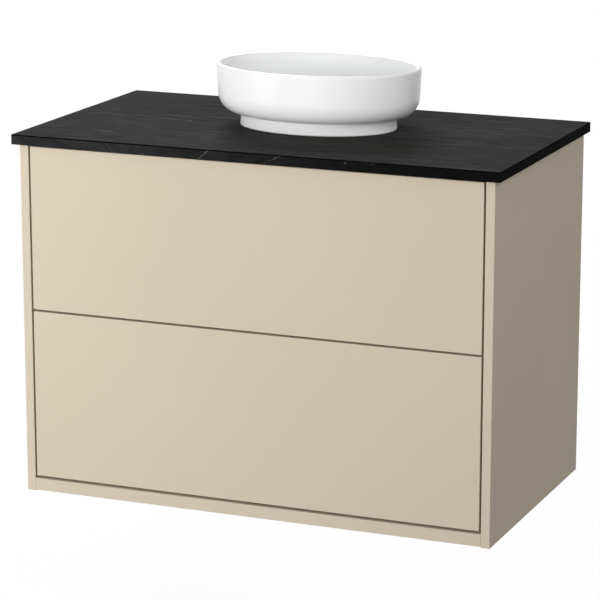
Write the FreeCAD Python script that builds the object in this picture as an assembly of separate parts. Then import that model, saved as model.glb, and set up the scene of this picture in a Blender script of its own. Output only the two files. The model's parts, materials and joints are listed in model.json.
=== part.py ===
# Wall-hung vanity unit: a board carcass with two push-to-open drawers, a stone top and an oval bowl.
# Millimetres. X runs along the wall, +Y into the wall, +Z up.
# The origin is the centre of the four wall-fixing holes, on the wall plane.
import FreeCAD
import Part
import math
import os

# Overall
top_width = 900.0
top_depth = 505.0
top_thickness = 18.0
top_arris = 1.2
side_overhang = 12.0
front_overhang = 10.0
cabinet_height = 632.0

# General fits
overrun = 5.0
touch = 0.001
fit_clearance = 0.1
seal_clearance = 0.3

# Carcass boards
side_thickness = 16.0
bottom_thickness = 22.0
bottom_raise = 1.5
board_arris = 0.8
rail_thickness = 16.0
top_rail_depth = 80.0
top_rail_setback = 7.0
hanging_rail_height = 100.0
lower_rail_height = 90.0

# Wall plates
plate_thickness = 2.5
plate_height = 60.0
plate_rail_leg = 64.0
plate_side_leg = 40.0
plate_corner = 8.0
plate_hole_offset = 36.0
plate_screw_spread = 16.0
plate_screw_share = 0.6
wall_hole_radius = 4.5

# Cam connectors between the rails, the bottom and the sides
cam_radius = 7.5
cam_depth = 12.5
cam_distance = 34.0
cam_slot_width = 2.4
cam_slot_depth = 3.0
cam_bolt_radius = 3.5
cam_bolt_grip = 11.0
cam_inset = 42.0
rail_cam_shares = (0.25, 0.75)

# Drawer fronts
front_thickness = 18.0
front_arris = 1.0
top_gap = 3.0
middle_gap = 3.6
bottom_gap = 5.1
side_gap = 3.3
upper_front_height = 293.0

# Drawer boxes
box_gap = 6.0
box_wall = 15.0
box_arris = 1.5
box_bottom_thickness = 8.0
groove_depth = 6.0
groove_clearance = 0.2
back_drop = 14.0
drawer_headroom = 76.0
front_screw_head_radius = 4.5
front_screw_head_height = 2.6
front_screw_radius = 2.0
front_screw_bite = 11.0
front_screw_x_share = 0.78
front_screw_z_shares = (0.3, 0.8)

# Drawer runners
sheet = 1.2
running_gap = 0.4
rail_foot_width = 17.0
rail_foot_height = 8.0
rail_lip = 4.0
lip_spacing = 2.0
flange_height = 34.0
channel_clearance = 3.0
runner_rise = 12.0
runner_front_inset = 2.0
runner_rear_inset = 14.0
middle_rail_inset = 4.0
side_lift = 11.0
rail_screw_inset = 37.0

# Pan-head screws into the side panels
side_screw_head_radius = 4.0
side_screw_head_height = 2.2
side_screw_radius = 2.0
side_screw_bite = 12.0

# Push-to-open units at the rear of the runners
push_gap = 3.6
push_length = 34.0
push_headroom = 1.2
push_nose_radius = 3.0
push_nose_length = 2.0
push_corner = 2.0

# Rail clips under the drawer's front corners
clip_length = 42.0
clip_width = 22.0
clip_height = 10.0
clip_lever_length = 14.0

# Bowl
bowl_x = 13.0
bowl_from_wall = 218.0
bowl_half_width = 188.0
bowl_half_depth = 136.0
bowl_height = 110.0
bowl_foot_half_width = 144.0
bowl_foot_half_depth = 104.5
bowl_foot_height = 22.0
bowl_foot_draft = 1.2
bowl_foot_ring = 12.0
bowl_foot_hollow = 14.0
bowl_round = 37.0
bowl_draft_degrees = 2.8
rim_thickness = 9.0
rim_round_share = 0.45
bowl_floor_edge = 34.0
bowl_floor_fall = 4.0

# Waste
waste_bore_radius = 23.0
waste_recess_radius = 34.0
waste_recess_depth = 3.5
waste_flange_radius = 32.0
waste_flange_thickness = 2.5
waste_radius = 20.9
waste_wall = 2.4
waste_tail = 45.0
seal_thickness = 1.5
hub_radius = 8.0
hub_height = 10.0
hub_drop = 13.5
hub_arm_width = 4.0
stem_radius = 4.7
stem_length = 34.0
plug_radius = 29.0
plug_edge = 2.0
plug_crown = 3.5
plug_seal_inner_radius = 21.5
plug_seal_outer_radius = 26.0
plug_seal_thickness = 2.5
slab_seal_radius = 33.0
slab_seal_thickness = 3.0
locknut_across_flats = 60.0
locknut_height = 9.0
slab_hole_radius = 24.0

# Trap and outlet
pipe_radius = 16.0
pipe_wall = 2.0
pipe_bend = 30.0
pipe_spigot = 7.0
pipe_box_gap = 18.0
nut_sides = 12
nut_wall = 4.0
nut_skirt = 12.0
nut_lip = 4.0
collar_wall = 3.0
bottle_radius = 26.0
bottle_wall = 2.5
nut_spacing = 2.0
cup_height = 40.0
cup_wall = 2.5
cup_round = 10.0
cup_overlap = 14.0
dip_gap = 16.0
outlet_reach = 30.0
outlet_bead = 1.5
outlet_bead_width = 3.0
trap_wall_gap = 40.0
trap_drawer_gap = 14.0
rosette_radius = 36.0
rosette_height = 9.0
rosette_sheet = 1.5

# Places worked out from the sizes above
cabinet_half = top_width / 2 - side_overhang
inner_half = cabinet_half - side_thickness
front_y = front_overhang - top_depth
front_back_y = front_y + front_thickness
upper_hole_drop = hanging_rail_height / 2
lower_hole_drop = cabinet_height - bottom_raise - bottom_thickness - lower_rail_height / 2
cabinet_top = (upper_hole_drop + lower_hole_drop) / 2
cabinet_bottom = cabinet_top - cabinet_height
floor_z = cabinet_bottom + bottom_raise + bottom_thickness
slab_top = cabinet_top + top_thickness
front_half = inner_half - side_gap
upper_front_bottom = cabinet_top - top_gap - upper_front_height
lower_front_top = upper_front_bottom - middle_gap
lower_front_bottom = floor_z + bottom_gap

box_half = inner_half - box_gap
trap_y = -(trap_wall_gap + bottle_radius)
box_back_y = trap_y - bottle_radius - trap_drawer_gap
pipe_z = cabinet_top - waste_tail - pipe_spigot - pipe_bend
box_top = pipe_z - pipe_radius - pipe_box_gap
upper_runner_z = upper_front_bottom + runner_rise
lower_runner_z = lower_front_bottom + runner_rise
upper_box_height = box_top - upper_runner_z - side_lift
lower_box_height = upper_runner_z - drawer_headroom - lower_runner_z - side_lift

channel_inner_width = rail_foot_width + 2 * running_gap
channel_inner_height = rail_foot_height + 2 * running_gap
channel_start = box_gap + box_wall + channel_clearance
channel_end = channel_start + channel_inner_width + 2 * sheet
channel_mid = (channel_start + channel_end) / 2
lower_lip_top = channel_inner_height + 2 * sheet
upper_lip_bottom = lower_lip_top + lip_spacing
runner_height = upper_lip_bottom + channel_inner_height + 2 * sheet
rail_front_y = front_back_y + box_wall + runner_front_inset
rail_rear_y = box_back_y - runner_rear_inset
push_height = runner_height - lower_lip_top - push_headroom
push_front_y = rail_rear_y + push_gap + push_nose_length
push_rear_y = push_front_y + push_length

bowl_y = -bowl_from_wall
waste_seat = bowl_floor_edge - bowl_floor_fall - waste_recess_depth
flange_top = waste_seat + seal_thickness + waste_flange_thickness
waste_end_z = cabinet_top - waste_tail
collar_radius = pipe_radius + seal_clearance + collar_wall
nut_room = collar_radius + fit_clearance + nut_wall + nut_spacing
outlet_collar = nut_skirt + nut_spacing
bottle_top = pipe_z - pipe_bend - nut_lip - nut_skirt - nut_spacing
outlet_z = bottle_top - nut_room
bottle_bottom = outlet_z - nut_room - cup_overlap
cup_bottom = bottle_bottom + cup_overlap - cup_height

x_axis = FreeCAD.Vector(1, 0, 0)
y_axis = FreeCAD.Vector(0, 1, 0)
z_axis = FreeCAD.Vector(0, 0, 1)


def at(x, y, z):
    return FreeCAD.Vector(x, y, z)


def block(x0, x1, y0, y1, z0, z1):
    return Part.makeBox(x1 - x0, y1 - y0, z1 - z0, at(x0, y0, z0))


def rod(radius, start, end):
    reach = end - start
    return Part.makeCylinder(radius, reach.Length, start, reach)


def tube(outer, inner, start, end):
    along = FreeCAD.Vector(end - start).normalize() * overrun
    return rod(outer, start, end).cut(rod(inner, start - along, end + along))


def mirrored(shape):
    return shape.mirror(at(0, 0, 0), x_axis)


def both_sides(shapes):
    return shapes + [mirrored(shape) for shape in shapes]


def face_of(points):
    return Part.Face(Part.makePolygon(points + points[:1]))


def eased_front(shape, radius):
    edges = [edge for edge in shape.Edges if edge.BoundBox.YMax < front_y + touch]
    return shape.makeFillet(radius, edges)


def strip(path, thickness):
    # Outline of a bent sheet: the path is one skin and the sheet lies on its left.
    normals = []
    for (u0, w0), (u1, w1) in zip(path, path[1:]):
        run = math.hypot(u1 - u0, w1 - w0)
        normals.append(((w0 - w1) / run, (u1 - u0) / run))
    before = normals[:1] + normals
    after = normals + normals[-1:]
    inside = []
    for (u, w), (au, aw), (bu, bw) in zip(path, before, after):
        mitre = thickness / (1 + au * bu + aw * bw)
        inside.append((u + mitre * (au + bu), w + mitre * (aw + bw)))
    return path + inside[::-1]


def revolved(outline, centre_x, centre_y):
    # Outline edges lie in the XZ plane through the axis.
    face = Part.Face(Part.Wire(outline))
    solid = face.revolve(at(0, 0, 0), z_axis, 360)
    return solid.translated(at(centre_x, centre_y, 0))


def ring_profile(points):
    return Part.makePolygon([at(r, 0, z) for r, z in points + points[:1]]).Edges


# Carcass

def cam_places():
    # Board name, end point on the left joint plane, and the face the cam is set from.
    top_rail_y = front_back_y + top_rail_setback + top_rail_depth / 2
    top_rail_z = cabinet_top - rail_thickness / 2
    rail_y = -rail_thickness / 2
    bottom_z = floor_z - bottom_thickness / 2
    places = [("top_rail", at(-inner_half, top_rail_y, top_rail_z), -z_axis)]
    for share in rail_cam_shares:
        hanging_z = cabinet_top - hanging_rail_height * share
        lower_z = floor_z + lower_rail_height * share
        places.append(("hanging_rail", at(-inner_half, rail_y, hanging_z), -y_axis))
        places.append(("lower_back_rail", at(-inner_half, rail_y, lower_z), -y_axis))
    for y in (front_y + cam_inset, -rail_thickness - cam_inset):
        places.append(("bottom_panel", at(-inner_half, y, bottom_z), -z_axis))
    return places


def cam_lock(end, face, board, clearance):
    # A slotted disc set flush with the board's face.
    centre = end + x_axis * cam_distance + face * (board / 2)
    disc = rod(cam_radius + clearance, centre - face * (cam_depth + clearance), centre)
    if clearance:
        return disc
    side = x_axis.cross(face)
    corner = centre - x_axis * (cam_slot_width / 2) - side * cam_radius - face * cam_slot_depth
    slot = face_of([corner, corner + x_axis * cam_slot_width,
                    corner + x_axis * cam_slot_width + side * (2 * cam_radius),
                    corner + side * (2 * cam_radius)])
    return disc.cut(slot.extrude(face * (cam_slot_depth + overrun)))


def cam_bolt(end, clearance):
    start = end - x_axis * (cam_bolt_grip + clearance)
    return rod(cam_bolt_radius + clearance, start, end + x_axis * (cam_distance - cam_radius))


def board_thickness(name):
    return bottom_thickness if name == "bottom_panel" else rail_thickness


def bored(board, name):
    cutters = []
    for owner, end, face in cam_places():
        if owner == name:
            cutters.append(cam_lock(end, face, board_thickness(name), fit_clearance))
            cutters.append(cam_bolt(end, fit_clearance))
    return board.cut(both_sides(cutters))


def side_panel():
    panel = block(-cabinet_half, -inner_half, front_y, 0, cabinet_bottom, cabinet_top)
    panel = eased_front(panel, board_arris)
    cutters = [cam_bolt(end, fit_clearance) for _, end, _ in cam_places()]
    cutters += rail_screws(fit_clearance) + plate_screws(fit_clearance)
    return panel.cut(cutters)


def bottom_panel():
    board = block(-inner_half, inner_half, front_y, 0, floor_z - bottom_thickness, floor_z)
    return bored(eased_front(board, board_arris), "bottom_panel")


def top_rail():
    start = front_back_y + top_rail_setback
    board = block(-inner_half, inner_half, start, start + top_rail_depth,
                  cabinet_top - rail_thickness, cabinet_top)
    return bored(board, "top_rail")


def wall_hole(z):
    x = plate_hole_offset - inner_half
    reach = rail_thickness + plate_thickness + overrun
    return rod(wall_hole_radius, at(x, -reach, z), at(x, overrun, z))


def back_rail(name, z0, z1):
    board = block(-inner_half, inner_half, -rail_thickness, 0, z0, z1)
    return bored(board, name).cut(both_sides([wall_hole((z0 + z1) / 2)]))


def wall_plate(z):
    # An angle plate: one leg on the rail, the other on the side panel.
    path = [(plate_rail_leg - inner_half, -rail_thickness), (-inner_half, -rail_thickness),
            (-inner_half, -rail_thickness - plate_side_leg)]
    outline = [at(x, y, z - plate_height / 2) for x, y in strip(path, plate_thickness)]
    plate = face_of(outline).extrude(z_axis * plate_height)
    ends = [edge for edge in plate.Edges if is_free_corner(edge)]
    plate = plate.makeFillet(plate_corner, ends)
    return plate.cut([wall_hole(z)] + plate_screws(fit_clearance))


def is_free_corner(edge):
    # The short edges through the sheet at the tips of the two legs.
    box = edge.BoundBox
    at_rail_tip = box.XMin > plate_rail_leg - inner_half - touch and box.ZLength < touch
    at_side_tip = box.YMax < touch - rail_thickness - plate_side_leg and box.ZLength < touch
    return at_rail_tip or at_side_tip


def side_screw(thickness, y, z, clearance):
    # A pan-head screw through a sheet that lies on the left side panel; with a clearance, its hole.
    face_x = thickness - inner_half
    start = at(-inner_half - side_screw_bite - clearance, y, z)
    shank = rod(side_screw_radius + clearance, start, at(face_x, y, z))
    if clearance:
        return shank
    head = rod(side_screw_head_radius, at(face_x, y, z), at(face_x + side_screw_head_height, y, z))
    return shank.fuse(head).removeSplitter()


def plate_screws(clearance):
    y = -rail_thickness - plate_side_leg * plate_screw_share
    screws = []
    for drop in (upper_hole_drop, lower_hole_drop):
        for spread in (-plate_screw_spread, plate_screw_spread):
            screws.append(side_screw(plate_thickness, y, cabinet_top - drop + spread, clearance))
    return screws


def wall_plates(z):
    return Part.makeCompound(both_sides([wall_plate(z)]))


# Top and bowl

def countertop():
    slab = block(-top_width / 2, top_width / 2, -top_depth, 0, cabinet_top, slab_top)
    slab = slab.makeFillet(top_arris, slab.Edges)
    hole = rod(slab_hole_radius, at(bowl_x, bowl_y, cabinet_top - overrun),
               at(bowl_x, bowl_y, slab_top + overrun))
    return slab.cut(hole)


def oval(outline, half_width, half_depth):
    # A revolved form, drawn in along Y to an oval.
    matrix = FreeCAD.Matrix()
    matrix.scale(1, half_depth / half_width, 1)
    round_form = Part.Face(Part.Wire(outline)).revolve(at(0, 0, 0), z_axis, 360)
    return round_form.transformGeometry(matrix)


def bowl_wall(rim, base_z, turn):
    # Tangent arc from a flat base to a wall that leans out to the rim, as edges up to the rim.
    lean = math.radians(bowl_draft_degrees)
    centre_z = base_z + turn
    centre_r = rim + ((centre_z - bowl_height) * math.sin(lean) - turn) / math.cos(lean)
    points = []
    for angle in (-math.pi / 2, -(math.pi / 2 + lean) / 2, -lean):
        points.append(at(centre_r + turn * math.cos(angle), 0, centre_z + turn * math.sin(angle)))
    wall = Part.LineSegment(points[2], at(rim, 0, bowl_height)).toShape()
    return [Part.Arc(*points).toShape(), wall], points[0]


def bowl_outside():
    edges, start = bowl_wall(bowl_half_width, bowl_foot_height, bowl_round)
    end = at(bowl_half_width, 0, bowl_height)
    foot = Part.makePolygon([end, at(0, 0, bowl_height), at(0, 0, 0), at(bowl_foot_half_width, 0, 0),
                             at(bowl_foot_half_width - bowl_foot_draft, 0, bowl_foot_height), start])
    return oval(edges + foot.Edges, bowl_half_width, bowl_half_depth)


def bowl_inside():
    rim = bowl_half_width - rim_thickness
    edges, start = bowl_wall(rim, bowl_floor_edge, bowl_round)
    over = bowl_height + overrun
    floor = Part.makePolygon([at(rim, 0, bowl_height), at(rim, 0, over), at(0, 0, over),
                              at(0, 0, bowl_floor_edge - bowl_floor_fall), start])
    return oval(edges + floor.Edges, rim, bowl_half_depth - rim_thickness)


def foot_hollow():
    half_width = bowl_foot_half_width - bowl_foot_ring
    outline = ring_profile([(0, -overrun), (half_width, -overrun), (half_width, 0),
                            (half_width - bowl_foot_draft, bowl_foot_hollow), (0, bowl_foot_hollow)])
    return oval(outline, half_width, bowl_foot_half_depth - bowl_foot_ring)


def basin():
    recess = rod(waste_recess_radius, at(0, 0, waste_seat), at(0, 0, bowl_height))
    bore = rod(waste_bore_radius, at(0, 0, 0), at(0, 0, bowl_height))
    bowl = bowl_outside().cut([bowl_inside(), foot_hollow(), recess, bore])
    rim = [edge for edge in bowl.Edges if edge.BoundBox.ZMin > bowl_height - touch]
    bowl = bowl.makeFillet(rim_thickness * rim_round_share, rim)
    return bowl.translated(at(bowl_x, bowl_y, slab_top))


# Waste, from the bowl down to the trap

def waste_body():
    inner = waste_radius - waste_wall
    flange_bottom = flange_top - waste_flange_thickness
    end = waste_end_z - slab_top
    body = revolved(ring_profile([(inner, end), (waste_radius, end), (waste_radius, flange_bottom),
                                  (waste_flange_radius, flange_bottom),
                                  (waste_flange_radius, flange_top - waste_flange_thickness / 2),
                                  (waste_flange_radius - waste_flange_thickness / 2, flange_top),
                                  (inner, flange_top)]), 0, 0)
    hub_top = flange_top - hub_drop
    half_arm = hub_arm_width / 2
    arms = [block(-inner, inner, -half_arm, half_arm, hub_top - hub_height, hub_top),
            block(-half_arm, half_arm, -inner, inner, hub_top - hub_height, hub_top)]
    hub = rod(hub_radius, at(0, 0, hub_top - hub_height), at(0, 0, hub_top))
    bore = rod(stem_radius + seal_clearance, at(0, 0, hub_top - hub_height - overrun),
               at(0, 0, hub_top + overrun))
    body = body.fuse(arms + [hub]).cut(bore).removeSplitter()
    return body.translated(at(bowl_x, bowl_y, slab_top))


def waste_top_seal():
    low = slab_top + waste_seat
    return tube(waste_flange_radius, waste_radius + fit_clearance,
                at(bowl_x, bowl_y, low), at(bowl_x, bowl_y, low + seal_thickness))


def waste_bottom_seal():
    return tube(slab_seal_radius, waste_radius + fit_clearance,
                at(bowl_x, bowl_y, cabinet_top - slab_seal_thickness), at(bowl_x, bowl_y, cabinet_top))


def waste_locknut():
    top = cabinet_top - slab_seal_thickness
    corner = locknut_across_flats / math.sqrt(3)
    nut = prism(6, corner, at(0, 0, 0), locknut_height)
    nut = nut.translated(at(bowl_x, bowl_y, top - locknut_height))
    bore = rod(waste_radius + fit_clearance, at(bowl_x, bowl_y, top - locknut_height - overrun),
               at(bowl_x, bowl_y, top + overrun))
    return nut.cut(bore)


def prism(sides, radius, base, height):
    points = []
    for step in range(sides):
        angle = 2 * math.pi * step / sides
        points.append(base + at(radius * math.cos(angle), radius * math.sin(angle), 0))
    return face_of(points).extrude(z_axis * height)


def plug_seal_bottom():
    return slab_top + flange_top + seal_clearance


def waste_plug():
    low = plug_seal_bottom() + plug_seal_thickness
    crown = at(0, 0, low + plug_edge + plug_crown)
    shoulder = at(plug_radius, 0, low + plug_edge)
    ball = (plug_radius ** 2 + plug_crown ** 2) / (2 * plug_crown)
    half_angle = math.asin(plug_radius / ball) / 2
    half = crown + at(ball * math.sin(half_angle), 0, ball * (math.cos(half_angle) - 1))
    dome = Part.Arc(shoulder, half, crown).toShape()
    rest = Part.makePolygon([crown, at(0, 0, low - stem_length), at(stem_radius, 0, low - stem_length),
                             at(stem_radius, 0, low), at(plug_radius, 0, low), shoulder])
    return revolved([dome] + rest.Edges, bowl_x, bowl_y)


def plug_seal():
    low = plug_seal_bottom()
    return tube(plug_seal_outer_radius, plug_seal_inner_radius,
                at(bowl_x, bowl_y, low), at(bowl_x, bowl_y, low + plug_seal_thickness))


# Trap behind the drawers

def bent_path(points, bend):
    # Straight runs joined by quarter bends.
    edges = []
    start = points[0]
    for corner, after in zip(points[1:], points[2:]):
        into = FreeCAD.Vector(corner - start).normalize() * bend
        away = FreeCAD.Vector(after - corner).normalize() * bend
        middle = corner + (away - into) * (1 - math.sqrt(0.5))
        edges.append(Part.LineSegment(start, corner - into).toShape())
        edges.append(Part.Arc(corner - into, middle, corner + away).toShape())
        start = corner + away
    edges.append(Part.LineSegment(start, points[-1]).toShape())
    return Part.Wire(edges)


def swept(path, radius):
    start = path.Vertexes[0].Point
    circle = Part.Wire(Part.makeCircle(radius, start, z_axis))
    return path.makePipeShell([circle], True, False)


def trap_pipe():
    tip = cup_bottom + dip_gap
    path = bent_path([at(bowl_x, bowl_y, waste_end_z), at(bowl_x, bowl_y, pipe_z),
                      at(bowl_x, trap_y, pipe_z), at(bowl_x, trap_y, tip)], pipe_bend)
    return swept(path, pipe_radius).cut(swept(path, pipe_radius - pipe_wall))


def compression_nut(collar, end, outward):
    # A many-sided nut whose skirt covers a collar and whose lip closes on the pipe beyond its end.
    corner = collar + fit_clearance + nut_wall
    nut = prism(nut_sides, corner, at(0, 0, -nut_skirt), nut_skirt + nut_lip)
    skirt = rod(collar + fit_clearance, at(0, 0, -nut_skirt - overrun), at(0, 0, 0))
    bore = rod(pipe_radius + fit_clearance, at(0, 0, -overrun), at(0, 0, nut_lip + overrun))
    nut = nut.cut([skirt, bore])
    nut.Placement = FreeCAD.Placement(end, FreeCAD.Rotation(z_axis, outward))
    return nut


def trap_bottle():
    # The bottle's upper half: a closed shoulder with an inlet collar, and an outlet collar to the wall.
    inner = bottle_radius - bottle_wall
    body = rod(bottle_radius, at(bowl_x, trap_y, bottle_bottom), at(bowl_x, trap_y, bottle_top))
    inlet = rod(collar_radius, at(bowl_x, trap_y, bottle_top - bottle_wall),
                at(bowl_x, trap_y, bottle_top + nut_skirt))
    outlet_end = trap_y + bottle_radius + outlet_collar
    outlet = rod(collar_radius, at(bowl_x, trap_y, outlet_z), at(bowl_x, outlet_end, outlet_z))
    hollow = rod(inner, at(bowl_x, trap_y, bottle_bottom - overrun),
                 at(bowl_x, trap_y, bottle_top - bottle_wall))
    pipe_bore = pipe_radius + fit_clearance
    inlet_bore = rod(pipe_bore, at(bowl_x, trap_y, bottle_bottom),
                     at(bowl_x, trap_y, bottle_top + nut_skirt + overrun))
    outlet_bore = rod(pipe_bore, at(bowl_x, trap_y, outlet_z),
                      at(bowl_x, outlet_end + overrun, outlet_z))
    return body.fuse([inlet, outlet]).cut([hollow, inlet_bore, outlet_bore]).removeSplitter()


def trap_cup():
    outer = bottle_radius + fit_clearance + cup_wall
    top = cup_bottom + cup_height
    cup = rod(outer, at(bowl_x, trap_y, cup_bottom), at(bowl_x, trap_y, top))
    base = [edge for edge in cup.Edges if edge.BoundBox.ZMax < cup_bottom + touch]
    cup = cup.makeFillet(cup_round, base)
    hollow = rod(bottle_radius - bottle_wall, at(bowl_x, trap_y, cup_bottom + cup_wall),
                 at(bowl_x, trap_y, top + overrun))
    socket = rod(bottle_radius + fit_clearance, at(bowl_x, trap_y, bottle_bottom),
                 at(bowl_x, trap_y, top + overrun))
    return cup.cut([hollow, socket])


def outlet_pipe():
    # A stop bead at the wall plane limits how far the spigot goes into the drain socket.
    inner = pipe_radius - pipe_wall
    wall = at(bowl_x, 0, outlet_z)
    start = at(bowl_x, trap_y + bottle_radius, outlet_z)
    pipe = tube(pipe_radius, inner, start, at(bowl_x, outlet_reach, outlet_z))
    bead = tube(pipe_radius + outlet_bead, inner, wall - y_axis * outlet_bead_width, wall)
    return pipe.fuse(bead).removeSplitter()


def wall_rosette():
    # A dished cover that closes the pipe's hole in the wall.
    bore = pipe_radius + seal_clearance
    path = [(rosette_radius, 0), (rosette_radius, rosette_sheet),
            (bore + rosette_sheet, rosette_height), (bore, rosette_height)]
    skin = path + [(bore, rosette_height - rosette_sheet), (rosette_radius - rosette_sheet, 0)]
    dish = revolved(ring_profile(skin), 0, 0)
    dish.Placement = FreeCAD.Placement(at(bowl_x, 0, outlet_z), FreeCAD.Rotation(z_axis, -y_axis))
    return dish


# Runners, drawn for the left side from the side panel inwards

def runner_section(points, base_z):
    return face_of([at(u - inner_half, 0, base_z + w) for u, w in points])


def along_y(face, y0, y1):
    return face.translated(at(0, y0, 0)).extrude(at(0, y1 - y0, 0))


def cabinet_rail(base_z):
    outer = [(0, flange_height), (0, 0), (channel_end, 0), (channel_end, lower_lip_top),
             (channel_end - rail_lip, lower_lip_top)]
    inner = [(channel_start + rail_lip, lower_lip_top), (channel_start, lower_lip_top), (channel_start, 0)]
    start = rail_front_y + push_gap
    angle = along_y(runner_section(strip(outer, sheet), base_z), start, push_rear_y)
    guide = along_y(runner_section(strip(inner, sheet), base_z), start, push_rear_y)
    return angle.fuse(guide).removeSplitter().cut(runner_screws(base_z, fit_clearance))


def i_outline(inset):
    half = rail_foot_width / 2 - inset
    neck = rail_foot_width / 2 + sheet - rail_lip - inset
    foot = rail_foot_height - inset
    top = 2 * rail_foot_height + 2 * (sheet + running_gap) + lip_spacing
    rows = [(half, inset), (half, foot), (neck, foot), (neck, top - foot), (half, top - foot),
            (half, top - inset)]
    left = [(-u, w) for u, w in rows[::-1]]
    base = sheet + running_gap
    return [(channel_mid + u, base + w) for u, w in rows + left]


def middle_rail(base_z):
    hollow = runner_section(i_outline(sheet), base_z)
    section = runner_section(i_outline(0), base_z).cut(hollow)
    return along_y(section.Faces[0], rail_front_y + middle_rail_inset, rail_rear_y - middle_rail_inset)


def drawer_rail(base_z):
    path = [(channel_end - rail_lip, upper_lip_bottom), (channel_end, upper_lip_bottom),
            (channel_end, runner_height), (channel_start, runner_height),
            (channel_start, upper_lip_bottom), (channel_start + rail_lip, upper_lip_bottom)]
    return along_y(runner_section(strip(path, sheet), base_z), rail_front_y, rail_rear_y)


def runner_screws(base_z, clearance):
    z = base_z + (lower_lip_top + flange_height) / 2
    places = (rail_front_y + rail_screw_inset, rail_rear_y - rail_screw_inset)
    return [side_screw(sheet, y, z, clearance) for y in places]


def rail_screws(clearance):
    return runner_screws(upper_runner_z, clearance) + runner_screws(lower_runner_z, clearance)


def push_unit(base_z):
    # A closed spring housing that sits on the channel's lips, its nose towards the drawer's rail.
    x0 = channel_start - inner_half
    x1 = channel_end - inner_half
    low = base_z + lower_lip_top
    housing = block(x0, x1, push_front_y, push_rear_y, low, low + push_height)
    upper = [edge for edge in housing.Edges if edge.BoundBox.ZMin > low + touch]
    housing = housing.makeFillet(push_corner, upper)
    nose_z = low + push_height / 2
    nose_x = channel_mid - inner_half
    nose = rod(push_nose_radius, at(nose_x, push_front_y - push_nose_length, nose_z),
               at(nose_x, push_front_y + push_nose_length, nose_z))
    return housing.fuse(nose).removeSplitter()


# Drawers

def drawer_front(z0, z1):
    front = block(-front_half, front_half, front_y, front_back_y, z0, z1)
    return front.makeFillet(front_arris, front.Edges)


def box_side(base_z, height):
    low = base_z + side_lift
    high = low + height
    side = block(-box_half, box_wall - box_half, front_back_y, box_back_y, low, high)
    crest = [edge for edge in side.Edges
             if edge.BoundBox.ZMin > high - touch and edge.BoundBox.YLength > box_wall]
    side = side.makeFillet(box_arris, crest)
    return side.cut(bottom_board(base_z, groove_clearance))


def bottom_board(base_z, clearance):
    # The bottom slides in grooves of the sides and the inner front, and passes under the back.
    half = box_half - box_wall + groove_depth - groove_clearance + clearance
    start = front_back_y + box_wall - groove_depth + groove_clearance - clearance
    low = base_z + runner_height - clearance
    high = base_z + runner_height + box_bottom_thickness + clearance
    return block(-half, half, start, box_back_y + clearance, low, high)


def inner_front(base_z, height):
    half = box_half - box_wall
    low = base_z + side_lift
    board = block(-half, half, front_back_y, front_back_y + box_wall, low, low + height)
    holes = front_screws(base_z, height, fit_clearance)
    return board.cut([bottom_board(base_z, groove_clearance)] + holes)


def box_back(base_z, height):
    half = box_half - box_wall
    low = base_z + runner_height + box_bottom_thickness
    top = base_z + side_lift + height - back_drop
    return block(-half, half, box_back_y - box_wall, box_back_y, low, top)


def front_screws(base_z, height, clearance):
    # Screws from inside the box, through the inner front, into the front.
    bite_y = front_back_y - front_screw_bite - clearance
    face_y = front_back_y + box_wall
    head_y = face_y + front_screw_head_height
    screws = []
    for x in (-box_half * front_screw_x_share, 0, box_half * front_screw_x_share):
        for share in front_screw_z_shares:
            z = base_z + side_lift + height * share
            shank = rod(front_screw_radius + clearance, at(x, bite_y, z), at(x, face_y, z))
            head = rod(front_screw_head_radius, at(x, face_y, z), at(x, head_y, z))
            screws.append(shank if clearance else shank.fuse(head).removeSplitter())
    return screws


def rail_clip(base_z):
    # A latch block under the bottom, beside the rail, with a lever to release the drawer.
    x0 = channel_end - inner_half
    high = base_z + runner_height
    y0 = rail_front_y
    y1 = y0 + clip_length
    lever = clip_height / 2
    points = [at(x0, y0, high), at(x0, y1, high), at(x0, y1, high - clip_height),
              at(x0, y0 + clip_lever_length, high - clip_height), at(x0, y0, high - lever)]
    return face_of(points).extrude(x_axis * clip_width)


def drawer(name, base_z, height, front_z0, front_z1):
    front = drawer_front(front_z0, front_z1).cut(front_screws(base_z, height, fit_clearance))
    side = box_side(base_z, height)
    rail = drawer_rail(base_z)
    pieces = {
        "front": front,
        "inner_front": inner_front(base_z, height),
        "side_left": side,
        "side_right": mirrored(side),
        "back": box_back(base_z, height),
        "bottom": bottom_board(base_z, 0),
        "rail_left": rail,
        "rail_right": mirrored(rail),
        "rail_clips": Part.makeCompound(both_sides([rail_clip(base_z)])),
        "front_screws": Part.makeCompound(front_screws(base_z, height, 0)),
    }
    return {name + "_drawer_" + piece: shape for piece, shape in pieces.items()}


def runners(name, base_z):
    pieces = {}
    makers = {"cabinet_rail": cabinet_rail, "middle_rail": middle_rail, "push_unit": push_unit}
    for piece, make in makers.items():
        left = make(base_z)
        pieces[name + "_" + piece + "_left"] = left
        pieces[name + "_" + piece + "_right"] = mirrored(left)
    return pieces


def carcass():
    locks = [cam_lock(end, face, board_thickness(name), 0) for name, end, face in cam_places()]
    bolts = [cam_bolt(end, 0) for _, end, _ in cam_places()]
    panel = side_panel()
    return {
        "side_panel_left": panel,
        "side_panel_right": mirrored(panel),
        "bottom_panel": bottom_panel(),
        "top_rail": top_rail(),
        "hanging_rail": back_rail("hanging_rail", cabinet_top - hanging_rail_height, cabinet_top),
        "lower_back_rail": back_rail("lower_back_rail", floor_z, floor_z + lower_rail_height),
        "upper_wall_plates": wall_plates(cabinet_top - upper_hole_drop),
        "lower_wall_plates": wall_plates(cabinet_top - lower_hole_drop),
        "cam_locks": Part.makeCompound(both_sides(locks)),
        "cam_bolts": Part.makeCompound(both_sides(bolts)),
        "rail_screws": Part.makeCompound(both_sides(rail_screws(0))),
        "plate_screws": Part.makeCompound(both_sides(plate_screws(0))),
    }


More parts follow.
